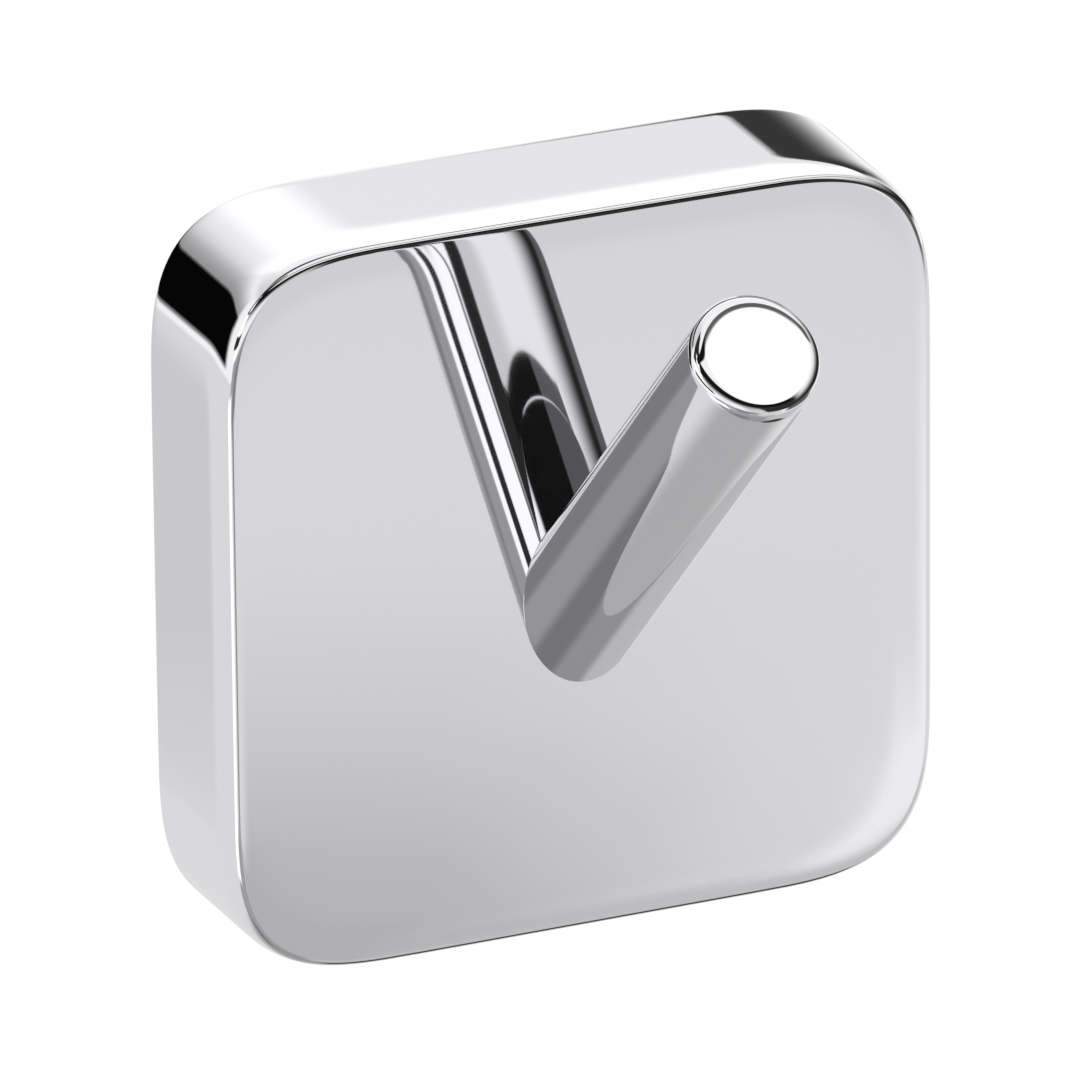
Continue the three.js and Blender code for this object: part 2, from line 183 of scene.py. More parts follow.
# %% [markdown]
# ### Stainless steel, zinc plate and black oxide
#
# The screws, washer and pin are cold-headed stainless steel: grey and satin, with a fine grain. The bracket is
# pressed steel with bright zinc plate, which shows a cloudy bluish bloom. The grub screw is hardened steel
# blackened in an oxide bath, a dark brownish grey that is worn a little shinier in patches. All three are
# metal with a mottled colour and roughness, so one function makes them from their own colours and sizes.

# %% Fastener and bracket steels
MOTTLE_FINENESS = 0.6


def mottled_metal(name, light, dark, mottle, roughness, grain, grain_height):
    """Metal whose colour and roughness drift between two values over mottles, with a fine grain as bump."""
    finish, tree = new_finish(name)
    place = add_node(tree, "TexCoord").outputs["Object"]
    layers = {"Scale": 1 / mottle, "Detail": 5, "Roughness": MOTTLE_FINENESS}
    cloud = add_node(tree, "TexNoise", layers, Vector=place)
    shades = {"data_type": "RGBA", "A": linear(dark), "B": linear(light)}
    colour = add_node(tree, "Mix", shades, Factor=cloud.outputs["Fac"])
    gloss = drift(tree, cloud, roughness)
    fine = add_node(tree, "TexNoise", {"Scale": 1 / grain, "Detail": 2}, Vector=place)
    bump = add_node(tree, "Bump", {"Distance": grain_height}, Height=fine.outputs["Fac"])
    metal = add_node(
        tree, "BsdfPrincipled", {"Metallic": 1}, Base_Color=colour.outputs["Result"],
        Roughness=gloss.outputs["Result"], Normal=bump.outputs["Normal"],
    )
    add_node(tree, "OutputMaterial", Surface=metal.outputs["BSDF"])
    return finish


stainless = mottled_metal(
    "cold_headed_stainless_steel", light="#bcbec1", dark="#a3a5a8", mottle=3 * MM,
    roughness=(0.2, 0.32), grain=0.25 * MM, grain_height=0.004 * MM,
)
zinc_plate = mottled_metal(
    "bright_zinc_plated_steel", light="#c3c7cb", dark="#a2a5a3", mottle=6 * MM,
    roughness=(0.25, 0.45), grain=0.4 * MM, grain_height=0.006 * MM,
)
black_oxide = mottled_metal(
    "black_oxide_hardened_steel", light="#4a4846", dark="#2d2c2d", mottle=2 * MM,
    roughness=(0.35, 0.5), grain=0.3 * MM, grain_height=0.006 * MM,
)
print("finishes:", stainless.name, zinc_plate.name, black_oxide.name)

# %% [markdown]
# ### Moulded nylon
#
# The wall plugs are injection-moulded grey nylon. It is a waxy plastic: light goes a little way in and comes
# out again, the gloss is low, and the mould's spark-eroded skin leaves a fine grain.

# %% Grey nylon
NYLON_LIGHT = "#aeb0ad"
NYLON_DARK = "#9c9e9b"
NYLON_FLOW = 7 * MM
NYLON_GRAIN = 0.35 * MM
NYLON_GRAIN_HEIGHT = 0.01 * MM
NYLON_ROUGHNESS = 0.42, 0.58
NYLON_IOR = 1.53
NYLON_SCATTER = 0.15
NYLON_SCATTER_DEPTH = 0.6 * MM


def nylon_finish():
    """Waxy plastic: faint flow marks in the colour, a little scattering below the skin, fine grain as bump."""
    finish, tree = new_finish("moulded_grey_nylon")
    place = add_node(tree, "TexCoord").outputs["Object"]
    flow = add_node(tree, "TexNoise", {"Scale": 1 / NYLON_FLOW, "Detail": 3}, Vector=place)
    shades = {"data_type": "RGBA", "A": linear(NYLON_DARK), "B": linear(NYLON_LIGHT)}
    colour = add_node(tree, "Mix", shades, Factor=flow.outputs["Fac"])
    grain = add_node(tree, "TexNoise", {"Scale": 1 / NYLON_GRAIN, "Detail": 2}, Vector=place)
    gloss = drift(tree, grain, NYLON_ROUGHNESS)
    bump = add_node(tree, "Bump", {"Distance": NYLON_GRAIN_HEIGHT}, Height=grain.outputs["Fac"])
    wax = {"IOR": NYLON_IOR, "Subsurface Weight": NYLON_SCATTER, "Subsurface Scale": NYLON_SCATTER_DEPTH}
    plastic = add_node(
        tree, "BsdfPrincipled", wax, Base_Color=colour.outputs["Result"],
        Roughness=gloss.outputs["Result"], Normal=bump.outputs["Normal"],
    )
    add_node(tree, "OutputMaterial", Surface=plastic.outputs["BSDF"])
    return finish


grey_nylon = nylon_finish()
finish_of = {
    "polished_chrome": polished_chrome,
    "stainless_steel": stainless,
    "zinc_plated_steel": zinc_plate,
    "black_steel": black_oxide,
    "nylon": grey_nylon,
}
print("finish:", grey_nylon.name)

# %% [markdown]
# ## Skins over stacks of rings
#
# Every piece of this hook can be read as a stack of closed rings: the cover is one outline that shrinks and
# moves forward, and a screw is one circle that grows and shrinks along its axis. So one function is enough
# to lay a skin over any such stack, with whole arrays of points, and two more cut solids and seat them.

# %% Rings, cuts and seats


def skin(name, rings, tube=False):
    """Closed skin over rings, an array of (rows, columns, 3).

    Each face joins a point to the next one on its ring and to the two in the next row. The first and last
    rings get a flat face each, or a tube joins them to each other. Columns run anticlockwise as seen from
    the last ring, so that the faces point outwards.
    """
    rows, columns = rings.shape[:2]
    index = np.arange(rows * columns).reshape(rows, columns)
    index = np.vstack([index, index[:1]]) if tube else index
    onward = np.roll(index, -1, axis=1)
    faces = np.stack([index[:-1], onward[:-1], onward[1:], index[1:]], axis=-1).reshape(-1, 4).tolist()
    faces += [] if tube else [index[0, ::-1].tolist(), index[-1].tolist()]
    mesh = bpy.data.meshes.new(name)
    mesh.from_pydata(rings.reshape(-1, 3).tolist(), [], faces)
    return mesh


def prism(name, ring, along):
    """Straight bar: a ring of points (columns, 3), and the same ring moved along a vector."""
    return skin(name, np.stack([ring, ring + np.asarray(along)]))


def carve(mesh, operation, others):
    """A solid joined with others ("UNION"), or with the others taken out of it ("DIFFERENCE")."""
    made = [bpy.data.objects.new(part.name, part) for part in (mesh, *others)]
    for part in made:
        scene.collection.objects.link(part)
    for other in made[1:]:
        step = made[0].modifiers.new(other.name, "BOOLEAN")
        step.operation, step.object, step.solver = operation, other, "EXACT"
    solid = bpy.data.meshes.new_from_object(made[0].evaluated_get(bpy.context.evaluated_depsgraph_get()))
    solid.name = mesh.name
    for part in made:
        bpy.data.objects.remove(part)
    return solid


def seat(mesh, node, crease=32, broken_edge=0):
    """Puts a finished mesh in the place of a solid, on the solid's own body.

    Faces are smooth up to a crease angle in degrees, and a bevel of the given width breaks the edges beyond it.
    """
    mesh.shade_smooth()
    mesh.set_sharp_from_angle(angle=np.radians(crease))
    piece = bpy.data.objects.new(node + "_finished", mesh)
    scene.collection.objects.link(piece)
    if broken_edge:
        bevel = piece.modifiers.new("broken edge", "BEVEL")
        bevel.width, bevel.segments, bevel.angle_limit = broken_edge, 2, np.radians(crease)
    even = piece.modifiers.new("even normals", "WEIGHTED_NORMAL")
    even.keep_sharp = True
    if not mesh.materials:
        mesh.materials.append(finish_of[slot_of[node]])
    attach(piece, body_of[node])
    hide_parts(node)
    print("piece:", piece.name, len(mesh.vertices), "points", len(mesh.polygons), "faces")


# %% [markdown]
# ## The cover's outside and inside
#
# Seen from the front the cover is a square whose corners are quarter superellipses: x to the power p plus z to
# the power p is constant, with p between a circle's 2 and a square's infinity. That gives the soft corner
# without the sudden change that a plain radius shows in a mirror. The buffing wheel has rolled both sides of
# the front edge off, so the outline shrinks slowly at first and faster near the face, goes round a small edge,
# and then crosses a border where the face flattens. It has also taken a hair off the sides by the back rim.

# %% Outline and profile of the cover
cover_low, cover_high = box_of("cover")
cover_half_width, cover_depth, cover_half_height = (cover_high - cover_low) / (2, 1, 2)

CORNER_REACH = 15 * MM
CORNER_POWER = 3.5
CORNER_COLUMNS = 72
SIDE_DRAFT = 0.25 * MM
EDGE_ROUND = 0.6 * MM
ROLL_WIDTH = 4 * MM
ROLL_POWER = 4
SIDE_ROLL = 0.3 * MM
FACE_ROLL = 0.065 * MM
SIDE_WALL = 2.2 * MM
FRONT_WALL = 2.6 * MM
CAVITY_ROUND = 1.2 * MM
RIM_ROUND = 0.25 * MM
FLAT_BORDER = 0.4 * MM
BACK_ROLL_WIDTH = 1.2 * MM
BACK_ROLL = 0.012 * MM
FLOOR_ROUND_ROWS = 7
RIM_ROWS = 4
ROLL_ROWS = 25
BACK_ROLL_ROWS = 9
EDGE_ROWS = 15


def cover_rings(inset, depth):
    """Cover outlines at rows of inset and depth from the wall.

    A corner point whose outline faces the angle a has x = reach * cos(t) ** (2 / p) and
    z = reach * sin(t) ** (2 / p), with tan(t) = tan(a) ** (p / (2p - 2)). Equal steps of a turn the mirror
    image by equal steps, so that no facet shows.
    """
    facing = np.linspace(0, np.pi / 2, CORNER_COLUMNS)
    turn = np.arctan(np.tan(facing) ** (CORNER_POWER / (2 * CORNER_POWER - 2)))
    reach = (CORNER_REACH - inset)[:, None]
    x = cover_half_width - CORNER_REACH + reach * np.cos(turn) ** (2 / CORNER_POWER)
    z = cover_half_height - CORNER_REACH + reach * np.sin(turn) ** (2 / CORNER_POWER)
    around_x = np.hstack([x, -x[:, ::-1], -x, x[:, ::-1]])
    around_z = np.hstack([z, z[:, ::-1], -z, -z[:, ::-1]])
    return np.stack([around_x, np.broadcast_to(-depth[:, None], around_x.shape), around_z], axis=-1)


def arc(rows, start=0.0, end=np.pi / 2):
    """Sine and cosine of evenly spaced angles."""
    angle = np.linspace(start, end, rows)
    return np.sin(angle), np.cos(angle)


def cover_profile():
    """Inset and depth of each row: cavity floor, inner wall, rim, back roll, side, edge round, face border."""
    floor = cover_depth - FRONT_WALL
    wall_foot = floor - CAVITY_ROUND
    foot_inset = SIDE_WALL + SIDE_DRAFT * wall_foot / cover_depth
    sine, cosine = arc(FLOOR_ROUND_ROWS)
    floor_rows = foot_inset + CAVITY_ROUND * (1 - cosine[::-1]), wall_foot + CAVITY_ROUND * sine[::-1]
    sine, cosine = arc(RIM_ROWS)
    inner_rim = SIDE_WALL - RIM_ROUND * (1 - cosine), RIM_ROUND * (1 - sine)
    part, back_part = np.linspace(0, 1, ROLL_ROWS), np.linspace(0, 1, BACK_ROLL_ROWS)[1:]
    slope = ROLL_POWER / ROLL_WIDTH
    lean = SIDE_DRAFT / cover_depth
    outer_rim = lean * RIM_ROUND + BACK_ROLL + RIM_ROUND * (1 - cosine[::-1]), RIM_ROUND * (1 - sine[::-1])
    behind = RIM_ROUND + BACK_ROLL_WIDTH * back_part
    back_side = lean * behind + BACK_ROLL * (1 - back_part) ** ROLL_POWER, behind
    edge_start = np.arctan(lean + slope * SIDE_ROLL)
    edge_end = np.pi / 2 - np.arctan(slope * FACE_ROLL)
    sine, cosine = arc(EDGE_ROWS, edge_start, edge_end)
    shoulder = cover_depth - FACE_ROLL - EDGE_ROUND * (sine[-1] - sine[0])
    upward = shoulder - ROLL_WIDTH * (1 - part[:-1])
    side = lean * upward + SIDE_ROLL * part[:-1] ** ROLL_POWER, upward
    edge_foot = lean * shoulder + SIDE_ROLL
    edge = edge_foot + EDGE_ROUND * (cosine[0] - cosine), shoulder + EDGE_ROUND * (sine - sine[0])
    border = edge[0][-1] + ROLL_WIDTH * part[1:], cover_depth - FACE_ROLL * (1 - part[1:]) ** ROLL_POWER
    cap_floor = [foot_inset + CAVITY_ROUND + FLAT_BORDER], [floor]
    cap_face = [border[0][-1] + FLAT_BORDER], [cover_depth]
    return np.hstack([cap_floor, floor_rows, inner_rim, outer_rim, back_side, side, edge, border, cap_face])


cover_shell = skin("cover", cover_rings(*cover_profile()))
print("cover shell:", len(cover_shell.vertices), "points")

# %% [markdown]
# ## Ribs, pad and boss inside the cover
#
# Two ribs on three sides guide the cover over the bracket, a round pad backs the peg's screw, and a boss at the
# bottom is tapped for the grub screw. They are straight bars that run into the walls, so they are prisms
# joined to the shell, and the three holes are round bars taken out of it.

# %% Inner features of the cover
bracket_low, bracket_high = box_of("wall_bracket")
screw_low, screw_high = box_of("peg_screw")
washer_low, washer_high = box_of("peg_lock_washer")
pin_low, pin_high = box_of("locating_pin")
grub_low, grub_high = box_of("grub_screw")
peg_low, peg_high = box_of("peg")

RIB_THICKNESS = 2 * MM
RIB_SPACING = 18 * MM
RIB_LEAD_IN = 1.2 * MM
RIB_SET_BACK = 1 * MM
SLIDE_CLEARANCE = 0.3 * MM
THREAD_CLEARANCE = 0.1 * MM
HOLE_CLEARANCE = 0.25 * MM
PAD_RADIUS = 9 * MM
BOSS_RADIUS = 4.2 * MM
BOSS_GAP = 1 * MM
BOSS_ROWS = 33
PEG_FOOT_HEIGHT = -1.7 * MM
SCREW_RADIUS = 2 * MM
INNER_MARGIN = SIDE_WALL / 3

front_middle = cover_depth - FRONT_WALL / 2
screw_centre = (screw_low + screw_high) / 2
pin_centre = (pin_low + pin_high) / 2
grub_centre = (grub_low + grub_high) / 2


def circle(radius, centre, axis, columns=64):
    """Ring of points about a centre, anticlockwise as seen from the tip of the axis ("-y", "y" or "z")."""
    sine, cosine = arc(columns + 1, 0, 2 * np.pi)
    sine, cosine, zero = radius * sine[:-1], radius * cosine[:-1], np.zeros(columns)
    layout = {"-y": (cosine, zero, sine), "y": (cosine, zero, -sine), "z": (cosine, sine, zero)}
    return np.asarray(centre) + np.stack(layout[axis], axis=-1)


def guide_ribs():
    """Six ribs: one side view with a sloped lead-in, moved sideways and turned to the top and the two sides."""
    ribs = []
    middle = SIDE_WALL / 2
    for spot in (-RIB_SPACING / 2, RIB_SPACING / 2):
        for turn, near, far in (
            (0, bracket_high[2], cover_half_height),
            (np.pi / 2, bracket_high[0], cover_half_width),
            (-np.pi / 2, bracket_high[0], cover_half_width),
        ):
            low, high = near + SLIDE_CLEARANCE, far - middle
            lead_in = RIB_SET_BACK + RIB_LEAD_IN
            y = -np.array([front_middle, lead_in, RIB_SET_BACK, RIB_SET_BACK, front_middle])
            z = np.array([low, low, low + RIB_LEAD_IN, high, high])
            side = np.stack([np.full_like(y, -RIB_THICKNESS / 2), y, z], axis=-1)
            swing = np.array(Matrix.Rotation(turn, 3, "Y"))
            shift = swing @ np.array([spot, 0, 0])
            ribs.append(prism("guide_rib", side @ swing.T + shift, swing @ np.array([RIB_THICKNESS, 0, 0])))
    return ribs


def grub_boss():
    """Boss in plan: straight from the front wall, then half a circle about the grub screw, drawn upwards."""
    sine, cosine = arc(BOSS_ROWS, 0, np.pi)
    x = BOSS_RADIUS * np.hstack([1, cosine, -1])
    y = np.hstack([-front_middle, grub_centre[1] + BOSS_RADIUS * sine, -front_middle])
    foot = SIDE_WALL / 2 - cover_half_height
    plan = np.stack([x, y, np.full_like(x, foot)], axis=-1)
    return prism("grub_boss", plan, (0, 0, bracket_low[2] - BOSS_GAP - foot))


pad_back = washer_low[1]
pad_ring = circle(PAD_RADIUS, (0, pad_back, PEG_FOOT_HEIGHT), "-y")
pad = prism("pad", pad_ring, (0, -front_middle - pad_back, 0))
with_features = carve(cover_shell, "UNION", [pad, grub_boss(), *guide_ribs()])

pin_radius = (pin_high[0] - pin_low[0]) / 2
grub_radius = (grub_high[0] - grub_low[0]) / 2
through = (0, -2 * cover_depth, 0)
screw_hole = circle(SCREW_RADIUS + HOLE_CLEARANCE, (0, cover_depth / 2, screw_centre[2]), "-y")
pin_hole = circle(pin_radius + THREAD_CLEARANCE, (0, cover_depth / 2, pin_centre[2]), "-y")
grub_hole = circle(grub_radius + THREAD_CLEARANCE, (0, grub_centre[1], -2 * cover_half_height), "z")
holes = [
    prism("screw_hole", screw_hole, through),
    prism("pin_hole", pin_hole, through),
    prism("grub_hole", grub_hole, (0, 0, 2 * cover_half_height + bracket_low[2])),
]
cover_mesh = carve(with_features, "DIFFERENCE", holes)

# %% Finish of the cover, polished outside and raw inside


def inner_faces(mesh):
    """True for each face behind the front wall whose middle is well inside the outline.

    The outline is where (x ** p + z ** p) ** (1 / p) is 1, with x and z counted from where the corner starts
    and in parts of its reach. Inner faces lie below that by more than a margin.
    """
    middles = np.empty(3 * len(mesh.polygons))
    mesh.polygons.foreach_get("center", middles)
    x, y, z = np.abs(middles.reshape(-1, 3)).T
    across = np.maximum(x - cover_half_width + CORNER_REACH, 0) / CORNER_REACH
    upward = np.maximum(z - cover_half_height + CORNER_REACH, 0) / CORNER_REACH
    spread = (across ** CORNER_POWER + upward ** CORNER_POWER) ** (1 / CORNER_POWER)
    return (spread < 1 - INNER_MARGIN / CORNER_REACH) & (y < front_middle)


cover_mesh.materials.clear()
cover_mesh.materials.append(polished_chrome)
cover_mesh.materials.append(raw_casting)
cover_mesh.polygons.foreach_set("material_index", inner_faces(cover_mesh).astype(np.int32))
seat(cover_mesh, "cover")

# %% [markdown]
# ## The peg
#
# The peg is bright bar, turned with a small round on its end and cut at a slant so that it stands on the face.
# A surface of angle round the bar and length along it gives this directly: the first ring starts where the
# slanted bar meets the face, and a fine chamfer there leaves the joint line that a real seam has.

# %% Peg surface
PEG_ANGLE = 44.0
PEG_LENGTH = 42 * MM
PEG_END_ROUND = 1 * MM
PEG_COLUMNS = 160
PEG_END_ROWS = 12
JOINT_CHAMFER = 0.08 * MM
TAP_ROOM = 0.5 * MM

peg_radius = (peg_high[0] - peg_low[0]) / 2
peg_tilt = np.radians(PEG_ANGLE)
peg_foot = np.array([0, -cover_depth, PEG_FOOT_HEIGHT])
peg_axis = np.array([0, -np.cos(peg_tilt), np.sin(peg_tilt)])
peg_up = np.array([0, np.sin(peg_tilt), np.cos(peg_tilt)])


def peg_rings():
    """Rings from the slanted foot to the flat end.

    A point is foot + axis * s + radius * (x * cos(a) + up * sin(a)), and the face cuts the bar at
    s = radius * sin(a) * tan(tilt). The last rows follow a quarter circle to the end.
    """
    sine, cosine = arc(PEG_COLUMNS + 1, 0, 2 * np.pi)
    sine, cosine = sine[:-1], cosine[:-1]
    round_sine, round_cosine = arc(PEG_END_ROWS)
    inner = peg_radius - PEG_END_ROUND
    bar_radius = np.hstack([peg_radius - JOINT_CHAMFER, peg_radius, inner + PEG_END_ROUND * round_cosine])
    bar_radius = np.hstack([bar_radius, inner - FLAT_BORDER])[:, None]
    rise = np.hstack([PEG_LENGTH - PEG_END_ROUND * (1 - round_sine), PEG_LENGTH])
    start = bar_radius[:2] * sine * np.tan(peg_tilt) + np.array([[0], [JOINT_CHAMFER]])
    along = np.vstack([start, np.repeat(rise[:, None], PEG_COLUMNS, axis=1)])
    sideways = np.array([1.0, 0.0, 0.0])
    spread = cosine[:, None] * sideways + sine[:, None] * peg_up
    return peg_foot + along[..., None] * peg_axis + bar_radius[..., None] * spread


peg_bar = skin("peg", peg_rings())
tap_end = screw_low[1] - TAP_ROOM
pin_end = pin_low[1] - THREAD_CLEARANCE
tap = circle(SCREW_RADIUS + THREAD_CLEARANCE, (0, 0, screw_centre[2]), "-y")
pin_pocket = circle(pin_radius + THREAD_CLEARANCE, (0, 0, pin_centre[2]), "-y")
peg_holes = [prism("tap", tap, (0, tap_end, 0)), prism("pin_pocket", pin_pocket, (0, pin_end, 0))]
peg_mesh = carve(peg_bar, "DIFFERENCE", peg_holes)
peg_mesh.materials.clear()
seat(peg_mesh, "peg")

# %% [markdown]
# ## Screws, washer and pin
#
# A screw is a circle carried along an axis, with two things that aren't round. The thread is a ridge that
# climbs by one pitch for each turn, so its height is a function of angle and length together. The cross in
# the head is a ring as well: the distance from the middle to the edge of two crossed slots at each angle.

# %% Threads and recesses
RECESS_HALF_WIDTH = 0.5 * MM
RECESS_HALF_SPAN = 2.2 * MM
RECESS_DEPTH = 1.5 * MM
RECESS_WALL = 0.8 * RECESS_DEPTH
RECESS_TAPER = np.array([[0.88], [0.3]])
HEAD_EDGE = 0.8 * MM
HEAD_SEAT_ROUND = 0.12 * MM
HEAD_ROWS = 12
SCREW_COLUMNS = 64
ROWS_PER_PITCH = 8
THREAD_CREASE = 50
NEAR_ZERO = 1e-9


def turned_rings(axial, radius, base, axis):
    """Rings about an axis ("-y", "y" or "z") through base.

    Places along the axis and radii are arrays of rows by columns, or of rows by one where a row is round.
    """
    shape = np.broadcast_shapes(axial.shape, radius.shape, (1, SCREW_COLUMNS))
    axial, radius = np.broadcast_to(axial, shape), np.broadcast_to(radius, shape)
    unit = circle(1.0, (0, 0, 0), axis, SCREW_COLUMNS)
    direction = {"-y": (0, -1, 0), "y": (0, 1, 0), "z": (0, 0, 1)}[axis]
    return np.asarray(base) + radius[..., None] * unit + axial[..., None] * np.array(direction)


def thread(start, end, pitch, major, minor, sharpness):
    """Places along the axis and radii of a thread.

    The ridge peaks where length / pitch - angle / (a whole turn) is a whole number, and falls off evenly on
    both sides: the greater the sharpness, the thinner the ridge.
    """
    axial = np.arange(start, end, pitch / ROWS_PER_PITCH)[:, None]
    angle = np.arange(SCREW_COLUMNS) / SCREW_COLUMNS
    wave = np.abs(2 * ((axial / pitch - angle) % 1) - 1)
    ridge = np.clip(1 - (1 - wave) * sharpness, 0, 1)
    return axial, minor + (major - minor) * ridge


def cross_outline():
    """Distance from the middle to the edge of two crossed slots at each angle: the farther slot's edge."""
    sine, cosine = arc(SCREW_COLUMNS + 1, 0, 2 * np.pi)
    sine, cosine = np.abs(sine[:-1]) + NEAR_ZERO, np.abs(cosine[:-1]) + NEAR_ZERO
    level = np.minimum(RECESS_HALF_SPAN / cosine, RECESS_HALF_WIDTH / sine)
    upright = np.minimum(RECESS_HALF_WIDTH / cosine, RECESS_HALF_SPAN / sine)
    return np.maximum(level, upright)


def pan_head(radius, height):
    """Head from its seat at length 0: straight edge, dome as part of an ellipse, then down into the cross."""
    cross = cross_outline()
    part = np.linspace(0, 1, HEAD_ROWS)[:, None]
    dome_radius = radius + (cross - radius) * part
    dome = HEAD_EDGE + (height - HEAD_EDGE) * np.sqrt(np.clip(1 - (dome_radius / radius) ** 2, 0, 1))
    edge = np.array([[0.0], [HEAD_SEAT_ROUND]]), np.array([[radius - HEAD_SEAT_ROUND], [radius]])
    recess_axial = np.array([[height - RECESS_WALL], [height - RECESS_DEPTH]])
    recess_radius = cross * RECESS_TAPER
    columns = np.ones((1, SCREW_COLUMNS))
    axial = np.vstack([edge[0] * columns, dome, recess_axial * columns])
    return axial, np.vstack([edge[1] * columns, dome_radius, recess_radius])


# %% [markdown]
# The peg's screw has a fine machine thread and a chamfered end. The wall screws have a coarse sharp thread that
# bites into the plug, and a long point. Both are a thread, a head and an end, stacked along one axis.

# %% Peg screw and wall screws
MACHINE_PITCH = 0.7 * MM
MACHINE_MINOR = 1.62 * MM
MACHINE_SHARPNESS = 1.1
WOOD_PITCH = 1.8 * MM
WOOD_MINOR = 1.35 * MM
WOOD_SHARPNESS = 2.2
WOOD_POINT = 6 * MM
WOOD_POINT_RADIUS = 0.05 * MM
SCREW_CHAMFER = 0.6 * MM
SCREW_NECK = 0.1 * MM
HEAD_HEIGHT = 2.6 * MM


def pan_head_screw(name, length, pitch, minor, sharpness, tip, tip_radius, base, axis):
    """Screw with the seat of its head at base.

    Over the tip, the thread's radius runs in a straight line from the tip's radius to its own. The head's rows
    are stacked on the thread's.
    """
    axial, radius = thread(-length, -SCREW_NECK, pitch, SCREW_RADIUS, minor, sharpness)
    taper = np.clip((axial + length) / tip, 0, 1)
    radius = radius * taper + tip_radius * (1 - taper)
    head_radius = (screw_high[0] - screw_low[0]) / 2
    head_axial, head_rows = pan_head(head_radius, HEAD_HEIGHT)
    columns = np.ones((1, SCREW_COLUMNS))
    neck = np.zeros((1, SCREW_COLUMNS))
    axial = np.vstack([axial * columns, neck, head_axial])
    radius = np.vstack([radius, neck + SCREW_RADIUS, head_rows])
    return skin(name, turned_rings(axial, radius, base, axis))


peg_screw_seat = (0, screw_high[1] - HEAD_HEIGHT, screw_centre[2])
peg_screw_mesh = pan_head_screw(
    "peg_screw", peg_screw_seat[1] - screw_low[1], MACHINE_PITCH, MACHINE_MINOR, MACHINE_SHARPNESS,
    SCREW_CHAMFER, SCREW_RADIUS - SCREW_CHAMFER, peg_screw_seat, "y",
)
seat(peg_screw_mesh, "peg_screw", THREAD_CREASE)
for place in ("upper", "lower"):
    node = "wall_screw_" + place
    low, high = box_of(node)
    wall_seat = (0, low[1] + HEAD_HEIGHT, (low[2] + high[2]) / 2)
    wall_screw_mesh = pan_head_screw(
        node, high[1] - wall_seat[1], WOOD_PITCH, WOOD_MINOR, WOOD_SHARPNESS,
        WOOD_POINT, WOOD_POINT_RADIUS, wall_seat, "-y",
    )
    seat(wall_screw_mesh, node, THREAD_CREASE)

# %% [markdown]
# The split washer is one turn of square wire with a gap in it. A square with chamfered corners, carried round
# the circle, gives the wire. The pin is a plain dowel with chamfered ends.

# %% Split washer and pin
WASHER_SPLIT = 0.9 * MM
WASHER_ROWS = 97
WIRE_CHAMFER = 0.12 * MM
PIN_CHAMFER = 0.2 * MM


def split_washer():
    """Square wire: its section at each angle from one side of the split to the other."""
    outer = (washer_high[2] - washer_low[2]) / 2
    inner = SCREW_RADIUS + HOLE_CLEARANCE
    near, far = washer_low[1], washer_high[1]
    inside, outside = inner + WIRE_CHAMFER, outer - WIRE_CHAMFER
    front, back = near + WIRE_CHAMFER, far - WIRE_CHAMFER
    r = np.array([inside, outside, outer, outer, outside, inside, inner, inner])
    y = np.array([near, near, front, back, far, far, back, front])
    half_split = np.arcsin(WASHER_SPLIT / 2 / inner)
    sine, cosine = arc(WASHER_ROWS, half_split, 2 * np.pi - half_split)
    x, z = cosine[:, None] * r, sine[:, None] * r + screw_centre[2]
    return skin("peg_lock_washer", np.stack([x, np.broadcast_to(y, x.shape), z], axis=-1))


def dowel():
    """Plain pin: chamfer, straight side, chamfer."""
    length = pin_high[1] - pin_low[1]
    axial = np.array([0, PIN_CHAMFER, length - PIN_CHAMFER, length])[:, None]
    radius = np.array([pin_radius - PIN_CHAMFER, pin_radius, pin_radius, pin_radius - PIN_CHAMFER])[:, None]
    return skin("locating_pin", turned_rings(axial, radius, (0, pin_low[1], pin_centre[2]), "y"))


seat(split_washer(), "peg_lock_washer")
seat(dowel(), "locating_pin")

# %% [markdown]
# ## The grub screw
#
# The grub screw has no head: a hex socket in one end, a fine thread all along and a cup at the other end that
# bites the bracket. The hexagon is a ring too, at half its width divided by the cosine of the angle to the
# nearest flat.

# %% Grub screw
HEX_WIDTH = 2 * MM
HEX_DEPTH = 3 * MM
HEX_CHAMFER = 0.12 * MM
HEX_BOTTOM = 0.3 * MM
HEX_BOTTOM_SHARE = 0.3
GRUB_CHAMFER = 0.4 * MM
GRUB_MINOR = 1.65 * MM
CUP_RADIUS = 1.2 * MM
CUP_DEPTH = 0.6 * MM
CUP_EDGE = 0.1 * MM
CUP_BOTTOM_RADIUS = 0.15 * MM


